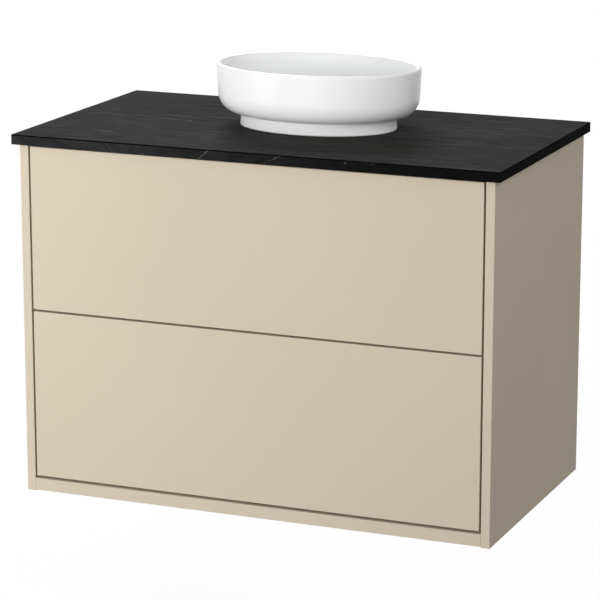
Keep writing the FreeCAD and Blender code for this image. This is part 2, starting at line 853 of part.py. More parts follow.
def top_and_waste():
    waste_end = at(bowl_x, bowl_y, waste_end_z)
    inlet_end = at(bowl_x, trap_y, bottle_top + nut_skirt)
    outlet_end = at(bowl_x, trap_y + bottle_radius + outlet_collar, outlet_z)
    return {
        "countertop": countertop(),
        "basin": basin(),
        "waste_body": waste_body(),
        "waste_top_seal": waste_top_seal(),
        "waste_bottom_seal": waste_bottom_seal(),
        "waste_locknut": waste_locknut(),
        "waste_plug": waste_plug(),
        "plug_seal": plug_seal(),
        "trap_pipe": trap_pipe(),
        "trap_inlet_nut": compression_nut(waste_radius, waste_end, -z_axis),
        "trap_top_nut": compression_nut(collar_radius, inlet_end, z_axis),
        "trap_bottle": trap_bottle(),
        "trap_cup": trap_cup(),
        "trap_outlet_nut": compression_nut(collar_radius, outlet_end, y_axis),
        "outlet_pipe": outlet_pipe(),
        "wall_rosette": wall_rosette(),
    }


def main():
    pieces = carcass()
    pieces.update(top_and_waste())
    for name, base_z in (("upper", upper_runner_z), ("lower", lower_runner_z)):
        pieces.update(runners(name, base_z))
    pieces.update(drawer("upper", upper_runner_z, upper_box_height,
                         upper_front_bottom, cabinet_top - top_gap))
    pieces.update(drawer("lower", lower_runner_z, lower_box_height,
                         lower_front_bottom, lower_front_top))
    os.makedirs("parts", exist_ok=True)
    for name, shape in pieces.items():
        print(name, len(shape.Solids), shape.isValid(), round(shape.Volume))
        shape.exportStep("parts/" + name + ".step")
    print(len(pieces), "pieces")


main()
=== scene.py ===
import bmesh
import bpy
import json
import math
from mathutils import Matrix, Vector


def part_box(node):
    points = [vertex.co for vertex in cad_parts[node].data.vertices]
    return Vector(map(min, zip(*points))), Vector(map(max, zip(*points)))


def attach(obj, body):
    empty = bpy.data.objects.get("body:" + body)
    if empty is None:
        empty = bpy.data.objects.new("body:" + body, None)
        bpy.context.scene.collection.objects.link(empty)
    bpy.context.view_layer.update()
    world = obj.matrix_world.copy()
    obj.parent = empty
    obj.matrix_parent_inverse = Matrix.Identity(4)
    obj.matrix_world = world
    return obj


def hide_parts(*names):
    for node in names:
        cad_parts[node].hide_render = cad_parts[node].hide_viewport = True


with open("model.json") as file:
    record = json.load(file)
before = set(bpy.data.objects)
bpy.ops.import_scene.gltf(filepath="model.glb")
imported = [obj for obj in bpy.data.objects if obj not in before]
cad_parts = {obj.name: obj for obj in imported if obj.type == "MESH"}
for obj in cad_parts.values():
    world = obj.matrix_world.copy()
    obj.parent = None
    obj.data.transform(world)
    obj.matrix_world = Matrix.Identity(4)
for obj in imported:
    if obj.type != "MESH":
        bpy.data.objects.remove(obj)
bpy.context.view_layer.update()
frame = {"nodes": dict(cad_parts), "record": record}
cadNodes = frame["nodes"]
print("frame loaded:", len(cadNodes), "CAD pieces")


# camera, fitted to the edges of the slab and the cabinet in the photograph; degrees, metres, lens in mm
cameraView = {"azimuth": 22.447, "elevation": 13.734, "distance": 5.09887, "lens": 170.504,
              "sensor": 36.0, "aim": (-0.00806, -0.2525, 0.0111)}


def placeCamera():
    turn = math.radians(cameraView["azimuth"])
    rise = math.radians(cameraView["elevation"])
    away = Vector((math.sin(turn) * math.cos(rise), -math.cos(turn) * math.cos(rise), math.sin(rise)))
    lens = bpy.data.cameras.new("productCamera")
    lens.lens = cameraView["lens"]
    lens.sensor_width = cameraView["sensor"]
    camera = bpy.data.objects.new("productCamera", lens)
    camera.location = Vector(cameraView["aim"]) + away * cameraView["distance"]
    camera.rotation_euler = (math.pi / 2 - rise, 0, turn)
    bpy.context.scene.collection.objects.link(camera)
    bpy.context.scene.camera = camera


# small helpers for node trees

def fillSocket(tree, socket, value):
    if isinstance(value, bpy.types.NodeSocket):
        tree.links.new(value, socket)
    else:
        socket.default_value = value


def addNode(tree, kind, settings=None, **values):
    # settings are the node's own switches, values its inputs, with _ for a space
    node = tree.nodes.new(kind)
    for name, value in (settings or {}).items():
        setattr(node, name, value)
    for name, value in values.items():
        fillSocket(tree, node.inputs[name.replace("_", " ")], value)
    return node


def calc(tree, operation, first, second=0.0):
    node = addNode(tree, "ShaderNodeMath", {"operation": operation})
    fillSocket(tree, node.inputs[0], first)
    fillSocket(tree, node.inputs[1], second)
    return node.outputs[0]


def remap(tree, value, low, high, toLow=0.0, toHigh=1.0):
    node = addNode(tree, "ShaderNodeMapRange", {"interpolation_type": "SMOOTHSTEP"}, Value=value,
                   From_Min=low, From_Max=high, To_Min=toLow, To_Max=toHigh)
    return node.outputs["Result"]


# the Mix node's sockets for colours, by number, because its names repeat
mixSockets = {"share": 0, "first": 6, "second": 7, "result": 2}


def blendColour(tree, share, first, second, way="MIX"):
    node = addNode(tree, "ShaderNodeMix", {"data_type": "RGBA", "blend_type": way})
    for name, value in (("share", share), ("first", first), ("second", second)):
        fillSocket(tree, node.inputs[mixSockets[name]], value)
    return node.outputs[mixSockets["result"]]


def stretched(tree, vector, amounts):
    node = addNode(tree, "ShaderNodeVectorMath", {"operation": "MULTIPLY"})
    fillSocket(tree, node.inputs[0], vector)
    fillSocket(tree, node.inputs[1], amounts)
    return node.outputs[0]


def cloud(tree, vector, scale, detail=3.0, roughness=0.55, distortion=0.0):
    node = addNode(tree, "ShaderNodeTexNoise", Vector=vector, Scale=scale, Detail=detail,
                   Roughness=roughness, Distortion=distortion)
    return node.outputs[0]


def patches(tree, vector, look):
    # a cloud whose low and high become new ones, or 0 and 1 where the range names none
    return remap(tree, cloud(tree, vector, **look["cloud"]), *look["range"])


def split(tree, vector):
    return addNode(tree, "ShaderNodeSeparateXYZ", Vector=vector).outputs


def facing(tree):
    return split(tree, tree.nodes.new("ShaderNodeNewGeometry").outputs["Normal"])


def newGroup(name, inputs, outputs, kind="ShaderNodeTree"):
    tree = bpy.data.node_groups.new(name, kind)
    for way, sockets in (("INPUT", inputs), ("OUTPUT", outputs)):
        for label, socketKind in sockets.items():
            tree.interface.new_socket(label, in_out=way, socket_type="NodeSocket" + socketKind)
    return tree, tree.nodes.new("NodeGroupInput").outputs, tree.nodes.new("NodeGroupOutput").inputs


def useGroup(tree, group, **values):
    node = addNode(tree, "ShaderNodeGroup", {"node_tree": group}, **values)
    return node.outputs


def newMaterial(name, **constants):
    material = bpy.data.materials.new(name)
    material.use_nodes = True
    tree = material.node_tree
    shader = tree.nodes["Principled BSDF"]
    for label, value in constants.items():
        shader.inputs[label].default_value = value
    place = tree.nodes.new("ShaderNodeTexCoord").outputs["Object"]
    return material, tree, shader, place


# effects that several finishes share

mottleLook = {"cloud": {"detail": 4.0, "roughness": 0.6}, "range": (0.3, 0.7)}


def makeMottle():
    # a shade that swings round 1 by the depth
    tree, given, out = newGroup("softMottle", {"Vector": "Vector", "Scale": "Float", "Depth": "Float"},
                                {"Shade": "Float"})
    wide = cloud(tree, given["Vector"], given["Scale"], **mottleLook["cloud"])
    swing = remap(tree, wide, *mottleLook["range"], -1.0, 1.0)
    tree.links.new(calc(tree, "ADD", calc(tree, "MULTIPLY", swing, given["Depth"]), 1.0), out["Shade"])
    return tree


sheenLook = {"cloud": {"detail": 5.0, "roughness": 0.62, "distortion": 0.4}, "range": (0.32, 0.68)}


def makeSheen():
    tree, given, out = newGroup("handledSheen", {"Vector": "Vector", "Scale": "Float", "Low": "Float",
                                                 "High": "Float"}, {"Roughness": "Float"})
    marks = cloud(tree, given["Vector"], given["Scale"], **sheenLook["cloud"])
    spread = remap(tree, marks, *sheenLook["range"], given["Low"], given["High"])
    tree.links.new(spread, out["Roughness"])
    return tree


poreLook = {"cloud": {"detail": 2.0, "roughness": 0.5}, "pitShare": 0.4}


def makePores():
    tree, given, out = newGroup("finePores", {"Vector": "Vector", "Scale": "Float"}, {"Height": "Float"})
    skin = cloud(tree, given["Vector"], given["Scale"], **poreLook["cloud"])
    cells = addNode(tree, "ShaderNodeTexVoronoi", Vector=given["Vector"], Scale=given["Scale"])
    pits = calc(tree, "MULTIPLY", cells.outputs["Distance"], poreLook["pitShare"])
    tree.links.new(calc(tree, "ADD", skin, pits), out["Height"])
    return tree


streakLook = {"cloud": {"scale": 1.0, "detail": 5.0, "roughness": 0.65}, "range": (0.25, 0.75)}


def makeStreaks():
    # Stretch is how often the lines change in a metre along each axis
    tree, given, out = newGroup("drawnStreaks", {"Vector": "Vector", "Stretch": "Vector"},
                                {"Lines": "Float"})
    drawn = stretched(tree, given["Vector"], given["Stretch"])
    tree.links.new(patches(tree, drawn, streakLook), out["Lines"])
    return tree


chipLook = {
    "dark": (0.24, 0.155, 0.08, 1),
    "pale": (0.66, 0.5, 0.32, 1),
    "chipShare": 0.6,
    "grainShare": 0.4,
    "grain": {"scale": 900.0, "detail": 3.0},
    "roughness": 0.9,
    "squareFrom": 0.9,      # a face with this share of its normal along an axis is square to it
}
# chips to the metre along X, Y and Z, most of them through the board's thickness
# a colour mix picks between the boards, so each has a fourth number
chipLayers = {
    "lying": (260.0, 260.0, 700.0, 1),
    "sideways": (700.0, 260.0, 260.0, 1),
    "upright": (260.0, 700.0, 260.0, 1),
}


def makeChips():
    look = chipLook
    tree, given, out = newGroup("bareChipboard", {"Vector": "Vector", "Layers": "Vector"},
                                {"Colour": "Color", "Height": "Float"})
    cells = addNode(tree, "ShaderNodeTexVoronoi", Scale=1.0,
                    Vector=stretched(tree, given["Vector"], given["Layers"]))
    tone = calc(tree, "MULTIPLY", split(tree, cells.outputs["Color"])["X"], look["chipShare"])
    grain = calc(tree, "MULTIPLY", cloud(tree, given["Vector"], **look["grain"]), look["grainShare"])
    shade = calc(tree, "ADD", tone, grain)
    tree.links.new(blendColour(tree, shade, look["dark"], look["pale"]), out["Colour"])
    tree.links.new(shade, out["Height"])
    return tree


veinLook = {
    "cloud": {"scale": 90.0, "detail": 3.0},
    "cloudMiddle": 0.5,
    "fullShare": 0.4,       # of its reach, before the vein starts to fade
}


def makeVein():
    # one thin mineral line: it crosses the first axis at Across and leans as the third axis goes on
    tree, given, out = newGroup("paleVein", {"Vector": "Vector", "Across": "Float", "Lean": "Float",
                                             "Middle": "Float", "Reach": "Float", "Width": "Float",
                                             "Wander": "Float"}, {"Mask": "Float"})
    axes = split(tree, given["Vector"])
    onward = calc(tree, "SUBTRACT", axes["Z"], given["Middle"])
    noise = cloud(tree, given["Vector"], **veinLook["cloud"])
    swing = calc(tree, "SUBTRACT", noise, veinLook["cloudMiddle"])
    off = calc(tree, "SUBTRACT", calc(tree, "SUBTRACT", axes["X"], given["Across"]),
               calc(tree, "MULTIPLY", onward, given["Lean"]))
    off = calc(tree, "ABSOLUTE", calc(tree, "ADD", off, calc(tree, "MULTIPLY", swing, given["Wander"])))
    fullReach = calc(tree, "MULTIPLY", given["Reach"], veinLook["fullShare"])
    ends = remap(tree, calc(tree, "ABSOLUTE", onward), given["Reach"], fullReach)
    tree.links.new(calc(tree, "MULTIPLY", remap(tree, off, given["Width"], 0.0), ends), out["Mask"])
    return tree


dustLook = {
    "facingUp": (0.6, 1.0),
    "patch": {"cloud": {"scale": 60.0, "detail": 4.0}, "range": (0.35, 0.7)},
}


def makeDust():
    tree, given, out = newGroup("settledDust", {"Vector": "Vector", "Amount": "Float"}, {"Mask": "Float"})
    up = remap(tree, facing(tree)["Z"], *dustLook["facingUp"])
    lying = calc(tree, "MULTIPLY", up, patches(tree, given["Vector"], dustLook["patch"]))
    tree.links.new(calc(tree, "MULTIPLY", lying, given["Amount"]), out["Mask"])
    return tree


softMottle = makeMottle()
handledSheen = makeSheen()
finePores = makePores()
drawnStreaks = makeStreaks()
bareChipboard = makeChips()
paleVein = makeVein()
settledDust = makeDust()
print("shared effects ready")


# the effects with the values of a finish's dictionary

def mottled(tree, place, colour, look):
    shade = useGroup(tree, softMottle, Vector=place, **look["mottle"])["Shade"]
    return blendColour(tree, 1.0, colour, shade, "MULTIPLY")


def sheen(tree, place, look):
    return useGroup(tree, handledSheen, Vector=place, **look["sheen"])["Roughness"]


def pores(tree, place, look):
    return useGroup(tree, finePores, Vector=place, Scale=look["pores"])["Height"]


def streaks(tree, place, stretch):
    return useGroup(tree, drawnStreaks, Vector=place, Stretch=stretch)["Lines"]


def dusted(tree, place, colour, look):
    dust = useGroup(tree, settledDust, Vector=place, Amount=look["dust"])["Mask"]
    return blendColour(tree, dust, colour, look["dustColour"])


def bumped(tree, shader, height, look):
    node = addNode(tree, "ShaderNodeBump", Height=height, **look["bump"])
    tree.links.new(node.outputs["Normal"], shader.inputs["Normal"])


def squareOn(tree, share):
    # faces that look straight along the axis
    return calc(tree, "GREATER_THAN", share, chipLook["squareFrom"])


def beyond(tree, value, limit):
    # past the limit on either side of zero
    return calc(tree, "GREATER_THAN", calc(tree, "ABSOLUTE", value), limit)


# finishes, one for each slot of the record

foilLook = {
    "colour": (0.58, 0.513, 0.404, 1),
    "ior": 1.09,
    "mottle": {"Scale": 2.6, "Depth": 0.012},
    "sheen": {"Scale": 4.0, "Low": 0.42, "High": 0.5},
    "pores": 520.0,
    "bump": {"Strength": 0.12, "Distance": 0.00012},
    "bareFrom": -0.0015,    # edges at the wall, behind this, are bare board
    "sidesFrom": 0.43,      # the side boards lie beyond this
}


def beigeFoil():
    look = foilLook
    material, tree, shader, place = newMaterial("beigeFoil", IOR=look["ior"])
    axes = split(tree, place)
    onSide = beyond(tree, axes["X"], look["sidesFrom"])
    layers = blendColour(tree, onSide, chipLayers["lying"], chipLayers["sideways"])
    chips = useGroup(tree, bareChipboard, Vector=place, Layers=layers)
    atWall = calc(tree, "GREATER_THAN", axes["Y"], look["bareFrom"])
    bare = calc(tree, "MULTIPLY", squareOn(tree, facing(tree)["Y"]), atWall)
    foil = mottled(tree, place, look["colour"], look)
    tree.links.new(blendColour(tree, bare, foil, chips["Colour"]), shader.inputs["Base Color"])
    roughness = remap(tree, bare, 0.0, 1.0, sheen(tree, place, look), chipLook["roughness"])
    tree.links.new(roughness, shader.inputs["Roughness"])
    bumped(tree, shader, pores(tree, place, look), look)
    return material


railLook = {
    "colour": (0.59, 0.525, 0.415, 1),
    "ior": 1.45,
    "mottle": {"Scale": 3.0, "Depth": 0.02},
    "sheen": {"Scale": 6.0, "Low": 0.46, "High": 0.58},
    "pores": 480.0,
    "poreShare": 0.3,
    "bump": {"Strength": 0.3, "Distance": 0.0003},
    "uprightFrom": -0.0165,     # the upright rails are behind this
    "flatFrom": -0.1,           # the flat rail is in front of this
}


def railBoard():
    # the long edges of the rails are bare board
    look = railLook
    material, tree, shader, place = newMaterial("railBoard", IOR=look["ior"])
    normal = facing(tree)
    depth = split(tree, place)["Y"]
    upright = calc(tree, "MULTIPLY", beyond(tree, normal["Z"], chipLook["squareFrom"]),
                   calc(tree, "GREATER_THAN", depth, look["uprightFrom"]))
    flat = calc(tree, "MULTIPLY", beyond(tree, normal["Y"], chipLook["squareFrom"]),
                calc(tree, "LESS_THAN", depth, look["flatFrom"]))
    bare = calc(tree, "MAXIMUM", upright, flat)
    layers = blendColour(tree, upright, chipLayers["lying"], chipLayers["upright"])
    chips = useGroup(tree, bareChipboard, Vector=place, Layers=layers)
    foil = mottled(tree, place, look["colour"], look)
    tree.links.new(blendColour(tree, bare, foil, chips["Colour"]), shader.inputs["Base Color"])
    roughness = remap(tree, bare, 0.0, 1.0, sheen(tree, place, look), chipLook["roughness"])
    tree.links.new(roughness, shader.inputs["Roughness"])
    skin = calc(tree, "MULTIPLY", pores(tree, place, look), look["poreShare"])
    bumped(tree, shader, remap(tree, bare, 0.0, 1.0, skin, chips["Height"]), look)
    return material


linenLook = {
    "colour": (0.60, 0.575, 0.52, 1),
    "ior": 1.45,
    "mottle": {"Scale": 4.0, "Depth": 0.025},
    "sheen": {"Scale": 5.0, "Low": 0.5, "High": 0.62},
    "bump": {"Strength": 0.15, "Distance": 0.0001},
    "pitch": 0.0014,
    "waver": {"scale": 30.0, "detail": 2.0},
    "waverTurn": 3.0,
    "weaveShade": 0.018,
    "sidesFrom": 0.4,       # the drawer sides lie beyond this
    "endsFrom": -0.108,     # their rear ends are behind this
}


def drawerBoard():
    # grey-beige foil with a linen emboss; the sides' rear ends are bare board
    look = linenLook
    material, tree, shader, place = newMaterial("drawerBoard", IOR=look["ior"])
    axes = split(tree, place)
    waver = calc(tree, "MULTIPLY", cloud(tree, place, **look["waver"]), look["waverTurn"])
    threads = []
    for axis in axes:
        turn = calc(tree, "MULTIPLY", axis, 2 * math.pi / look["pitch"])
        threads.append(calc(tree, "SINE", calc(tree, "ADD", turn, waver)))
    weave = calc(tree, "ADD", calc(tree, "ADD", threads[0], threads[1]), threads[2])
    shade = useGroup(tree, softMottle, Vector=place, **look["mottle"])["Shade"]
    shade = calc(tree, "ADD", shade, calc(tree, "MULTIPLY", weave, look["weaveShade"]))
    foil = blendColour(tree, 1.0, look["colour"], shade, "MULTIPLY")
    chips = useGroup(tree, bareChipboard, Vector=place, Layers=chipLayers["sideways"][:3])
    rear = calc(tree, "MULTIPLY", squareOn(tree, facing(tree)["Y"]),
                calc(tree, "GREATER_THAN", axes["Y"], look["endsFrom"]))
    bare = calc(tree, "MULTIPLY", rear, beyond(tree, axes["X"], look["sidesFrom"]))
    tree.links.new(blendColour(tree, bare, foil, chips["Colour"]), shader.inputs["Base Color"])
    tree.links.new(sheen(tree, place, look), shader.inputs["Roughness"])
    bumped(tree, shader, weave, look)
    return material


marbleLook = {
    "ior": 1.016,
    "sheen": {"Scale": 7.0, "Low": 0.34, "High": 0.46},
    "bump": {"Strength": 0.08, "Distance": 0.0002},
    "levelRange": (0.9, 0.99),      # the top's print gives way to the edge's where the surface tilts
    "broken": {"cloud": {"scale": 160.0, "detail": 2.0}, "range": (0.38, 0.6, 0.22, 0.9)},
    # the top
    "top": (0.0334, 0.0358, 0.0345, 1),
    "grain": (9.0, 70.0, 70.0),
    "pale": (0.049, 0.0508, 0.0478, 1),
    "paleRange": (0.45, 0.95),
    "fineGrain": (30.0, 230.0, 230.0),
    "dark": (0.02, 0.0212, 0.0207, 1),
    "darkRange": (0.5, 0.1),
    "warmGrain": (3.0, 9.0, 9.0),
    "warm": (0.039, 0.0344, 0.0312, 1),
    "warmth": {"cloud": {"scale": 1.0, "detail": 3.0}, "range": (0.5, 0.7, 0.0, 0.8)},
    "hair": (0.155, 0.146, 0.128, 1),
    "hairWander": 0.01,
    # the edge bands, with print clouds that carry a painted sheen, thinning out towards the right
    "edge": (0.005, 0.0055, 0.0053, 1),
    # pale print clouds on the edge, also used as a painted sheen at the left end
    "edgeCloudAndSheen": (0.03, 0.0315, 0.0305, 1),
    "edgePatch": {"cloud": {"scale": 26.0, "detail": 4.0, "roughness": 0.65},
                  "range": (0.36, 0.62, 0.5, 1.0)},
    # where the painted sheen on the edge clouds has faded out, as a share of the slab's right end
    "paintedSheenEnd": 0.8,
    "vein": (0.2, 0.195, 0.18, 1),
    "veinWander": 0.005,
    "joint": (0.0025, 0.0025, 0.0025, 1),
    "jointHeight": 0.0022,
}
# each line: place across, lean, middle along it, half length, half width
topLines = [(-0.25, -0.1, -0.373, 0.045, 0.0026), (-0.247, 0.03, -0.319, 0.024, 0.0022),
            (-0.261, -0.09, -0.245, 0.05, 0.003), (-0.219, 0.07, -0.25, 0.026, 0.0024),
            (-0.212, -0.12, -0.179, 0.05, 0.003), (-0.416, -0.2, -0.311, 0.036, 0.0028),
            (-0.205, -0.2, -0.389, 0.022, 0.0018), (-0.341, -0.2, -0.036, 0.05, 0.0024),
            (-0.378, 0.5, 0.232, 0.05, 0.0016), (-0.307, 0.28, 0.283, 0.065, 0.0016),
            (-0.209, 0.19, 0.347, 0.035, 0.0014), (-0.09, -0.05, 0.12, 0.06, 0.0016)]
edgeLines = [(-0.081, 1.3, 0.316, 1.0, 0.0011), (0.0455, 2.2, 0.316, 1.0, 0.0009),
             (0.238, 4.6, 0.324, 0.004, 0.0013), (0.052, 0.8, 0.321, 0.006, 0.0008),
             (-0.26, -0.8, 0.316, 1.0, 0.0005), (0.178, 0.6, 0.322, 0.006, 0.0006)]


def lineMask(tree, vector, lines, wander):
    mask = 0.0
    for across, lean, middle, reach, width in lines:
        line = useGroup(tree, paleVein, Vector=vector, Across=across, Lean=lean, Middle=middle,
                        Reach=reach, Width=width, Wander=wander)
        mask = calc(tree, "MAXIMUM", mask, line["Mask"])
    return mask


def topPrint(tree, place, fine, broken):
    look = marbleLook
    grain = streaks(tree, place, look["grain"])
    top = blendColour(tree, remap(tree, grain, *look["paleRange"]), look["top"], look["pale"])
    top = blendColour(tree, remap(tree, fine, *look["darkRange"]), top, look["dark"])
    warmth = patches(tree, stretched(tree, place, look["warmGrain"]), look["warmth"])
    top = blendColour(tree, warmth, top, look["warm"])
    axes = split(tree, place)
    lengthwise = addNode(tree, "ShaderNodeCombineXYZ", X=axes["Y"], Y=axes["Z"], Z=axes["X"]).outputs[0]
    hair = calc(tree, "MULTIPLY", lineMask(tree, lengthwise, topLines, look["hairWander"]), broken)
    return blendColour(tree, hair, top, look["hair"])


def edgePrint(tree, place, broken):
    look = marbleLook
    low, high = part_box("countertop")
    axes = split(tree, place)
    # painted sheen: the edge's pale clouds are fullest at the left end and fade out towards the right
    paintedSheenFade = remap(tree, axes["X"], high.x * look["paintedSheenEnd"], low.x)
    cloudsAndSheen = calc(tree, "MULTIPLY", paintedSheenFade, patches(tree, place, look["edgePatch"]))
    edge = blendColour(tree, cloudsAndSheen, look["edge"], look["edgeCloudAndSheen"])
    veins = calc(tree, "MULTIPLY", lineMask(tree, place, edgeLines, look["veinWander"]), broken)
    edge = blendColour(tree, veins, edge, look["vein"])
    joint = calc(tree, "GREATER_THAN", axes["Z"], high.z - look["jointHeight"])
    return blendColour(tree, joint, edge, look["joint"])


def blackMarble():
    # the top's print runs lengthwise; the edge bands are clouded, with a painted sheen that fades towards
    # the right, and a few leaning veins
    look = marbleLook
    material, tree, shader, place = newMaterial("blackMarble", IOR=look["ior"])
    fine = streaks(tree, place, look["fineGrain"])
    broken = patches(tree, place, look["broken"])
    level = remap(tree, calc(tree, "ABSOLUTE", facing(tree)["Z"]), *look["levelRange"])
    stone = blendColour(tree, level, edgePrint(tree, place, broken), topPrint(tree, place, fine, broken))
    tree.links.new(stone, shader.inputs["Base Color"])
    tree.links.new(sheen(tree, place, look), shader.inputs["Roughness"])
    bumped(tree, shader, fine, look)
    return material


glazeLook = {
    "colour": (0.876, 0.883, 0.89, 1),
    "ior": 1.33,
    "mottle": {"Scale": 9.0, "Depth": 0.003},
    "sheen": {"Scale": 8.0, "Low": 0.28, "High": 0.3},
    "ripple": {"scale": 14.0, "detail": 2.0},
    "bump": {"Strength": 0.02, "Distance": 0.0006},
    "bisque": (0.68, 0.65, 0.6, 1),
    "bisqueRoughness": 0.75,
    "footRing": 0.0012,
    "footFade": 0.0004,
}


def whiteCeramic():
    # glazed all over but for a ring under the foot
    look = glazeLook
    material, tree, shader, place = newMaterial("whiteCeramic", IOR=look["ior"])
    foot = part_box("basin")[0].z + look["footRing"]
    unglazed = remap(tree, split(tree, place)["Z"], foot + look["footFade"], foot)
    glaze = mottled(tree, place, look["colour"], look)
    tree.links.new(blendColour(tree, unglazed, glaze, look["bisque"]), shader.inputs["Base Color"])
    roughness = remap(tree, unglazed, 0.0, 1.0, sheen(tree, place, look), look["bisqueRoughness"])
    tree.links.new(roughness, shader.inputs["Roughness"])
    bumped(tree, shader, cloud(tree, place, **look["ripple"]), look)
    return material


chromeLook = {
    "colour": (0.78, 0.79, 0.81, 1),
    "mottle": {"Scale": 40.0, "Depth": 0.02},
    "sheen": {"Scale": 70.0, "Low": 0.05, "High": 0.13},
    "ripple": {"scale": 300.0, "detail": 2.0},
    "bump": {"Strength": 0.02, "Distance": 0.0001},
}


def chrome():
    look = chromeLook
    material, tree, shader, place = newMaterial("chrome", Metallic=1.0)
    tree.links.new(mottled(tree, place, look["colour"], look), shader.inputs["Base Color"])
    tree.links.new(sheen(tree, place, look), shader.inputs["Roughness"])
    bumped(tree, shader, cloud(tree, place, **look["ripple"]), look)
    return material


brassLook = {
    "dark": (0.52, 0.36, 0.15, 1),
    "bright": (0.74, 0.55, 0.27, 1),
    "turned": (60.0, 60.0, 2400.0),
    "mottle": {"Scale": 55.0, "Depth": 0.08},
    "roughness": (0.36, 0.24),
    "bump": {"Strength": 0.1, "Distance": 0.00008},
}


def brass():
    look = brassLook
    material, tree, shader, place = newMaterial("brass", Metallic=1.0)
    turned = streaks(tree, place, look["turned"])
    metal = blendColour(tree, turned, look["dark"], look["bright"])
    tree.links.new(mottled(tree, place, metal, look), shader.inputs["Base Color"])
    tree.links.new(remap(tree, turned, 0.0, 1.0, *look["roughness"]), shader.inputs["Roughness"])
    bumped(tree, shader, turned, look)
    return material


rubberLook = {
    "colour": (0.028, 0.028, 0.029, 1),
    "ior": 1.5,
    "mottle": {"Scale": 120.0, "Depth": 0.2},
    "sheen": {"Scale": 90.0, "Low": 0.6, "High": 0.8},
    "pores": 1500.0,
    "bump": {"Strength": 0.2, "Distance": 0.0001},
    "dust": 0.25,
    "dustColour": (0.3, 0.29, 0.27, 1),
}
trapLook = {
    "colour": (0.8, 0.8, 0.79, 1),
    "ior": 1.48,
    "mottle": {"Scale": 18.0, "Depth": 0.02},
    "sheen": {"Scale": 35.0, "Low": 0.22, "High": 0.34},
    "pores": 700.0,
    "bump": {"Strength": 0.06, "Distance": 0.0001},
    "dust": 0.08,
    "dustColour": (0.5, 0.47, 0.43, 1),
}
greyLook = {
    "colour": (0.2, 0.205, 0.21, 1),
    "ior": 1.48,
    "mottle": {"Scale": 18.0, "Depth": 0.02},
    "sheen": {"Scale": 35.0, "Low": 0.48, "High": 0.6},
    "pores": 1600.0,
    "bump": {"Strength": 0.3, "Distance": 0.0001},
    "dust": 0.1,
    "dustColour": (0.5, 0.47, 0.43, 1),
}


def moulded(name, look):
    material, tree, shader, place = newMaterial(name, IOR=look["ior"])
    plain = mottled(tree, place, look["colour"], look)
    tree.links.new(dusted(tree, place, plain, look), shader.inputs["Base Color"])
    tree.links.new(sheen(tree, place, look), shader.inputs["Roughness"])
    bumped(tree, shader, pores(tree, place, look), look)
    return material


zincLook = {
    "colour": (0.6, 0.61, 0.615, 1),
    "warm": (0.62, 0.6, 0.53, 1),
    "tarnish": {"cloud": {"scale": 14.0, "detail": 4.0}, "range": (0.42, 0.68, 0.0, 0.55)},
    "rolled": (900.0, 3.0, 900.0),
    "line": (0.38, 0.385, 0.39, 1),
    "lineShare": 0.22,
    "roughness": (0.26, 0.4),
    "bump": {"Strength": 0.08, "Distance": 0.0001},
    "dust": 0.12,
    "dustColour": (0.42, 0.4, 0.37, 1),
}


def zincSteel():
    look = zincLook
    material, tree, shader, place = newMaterial("zincSteel", Metallic=1.0)
    rolled = streaks(tree, place, look["rolled"])
    metal = blendColour(tree, patches(tree, place, look["tarnish"]), look["colour"], look["warm"])
    metal = blendColour(tree, calc(tree, "MULTIPLY", rolled, look["lineShare"]), metal, look["line"])
    tree.links.new(dusted(tree, place, metal, look), shader.inputs["Base Color"])
    tree.links.new(remap(tree, rolled, 0.0, 1.0, *look["roughness"]), shader.inputs["Roughness"])
    bumped(tree, shader, rolled, look)
    return material


finishes = {
    "beige_foil": beigeFoil(),
    "rail_board": railBoard(),
    "drawer_board": drawerBoard(),
    "black_marble": blackMarble(),
    "white_ceramic": whiteCeramic(),
    "chrome": chrome(),
    "brass": brass(),
    "seal_rubber": moulded("sealRubber", rubberLook),
    "trap_plastic": moulded("trapPlastic", trapLook),
    "grey_plastic": moulded("greyPlastic", greyLook),
    "zinc_steel": zincSteel(),
}


def dressNodes():
    for part in frame["record"]["subparts"]:
        mesh = cadNodes[part["node"]].data
        mesh.materials.clear()
        mesh.materials.append(finishes[part["material_slot"]])


dressNodes()
print("finishes on", len(cadNodes), "CAD pieces")


# repeated details by Geometry Nodes

def newTree(name, inputs):
    return newGroup(name, inputs, {"Geometry": "Geometry"}, "GeometryNodeTree")


def closeTree(tree, geometry, finish, out):
    solid = addNode(tree, "GeometryNodeRealizeInstances", Geometry=geometry)
    painted = addNode(tree, "GeometryNodeSetMaterial", Geometry=solid.outputs[0], Material=finish)
    tree.links.new(painted.outputs[0], out["Geometry"])


def grow(name, mesh, tree, values):
    # runs the tree on a mesh and keeps the result as a plain mesh
    piece = bpy.data.objects.new(name, mesh)
    bpy.context.scene.collection.objects.link(piece)
    modifier = piece.modifiers.new("grow", "NODES")
    modifier.node_group = tree
    for item in tree.interface.items_tree:
        if item.in_out == "INPUT" and item.name in values:
            modifier[item.identifier] = values[item.name]
    evaluated = piece.evaluated_get(bpy.context.evaluated_depsgraph_get())
    grown = bpy.data.meshes.new_from_object(evaluated)
    piece.modifiers.clear()
    piece.data = grown
    return piece


screwLook = {
    "segments": 24,
    "dome": ((1.0, 0.45), (0.87, 0.85), (0.62, 1.0)),       # shares of the head's radius and height
    "recessReach": 0.52,
    "recessHalf": 0.13,
    "recessDepth": 0.62,
    "recessTaper": 0.55,
    "shankRadius": 0.0019,
    "pointLength": 2,       # in shank radii
    "turnSeed": 7,
    "weld": 1e-6,
}
# node, body, axis of the screws, height of their heads
screwSets = [
    ("rail_screws", "carcass", "X", 0.0022),
    ("plate_screws", "carcass", "X", 0.0022),
    ("upper_drawer_front_screws", "upper_drawer", "Y", 0.0026),
    ("lower_drawer_front_screws", "lower_drawer", "Y", 0.0026),
]


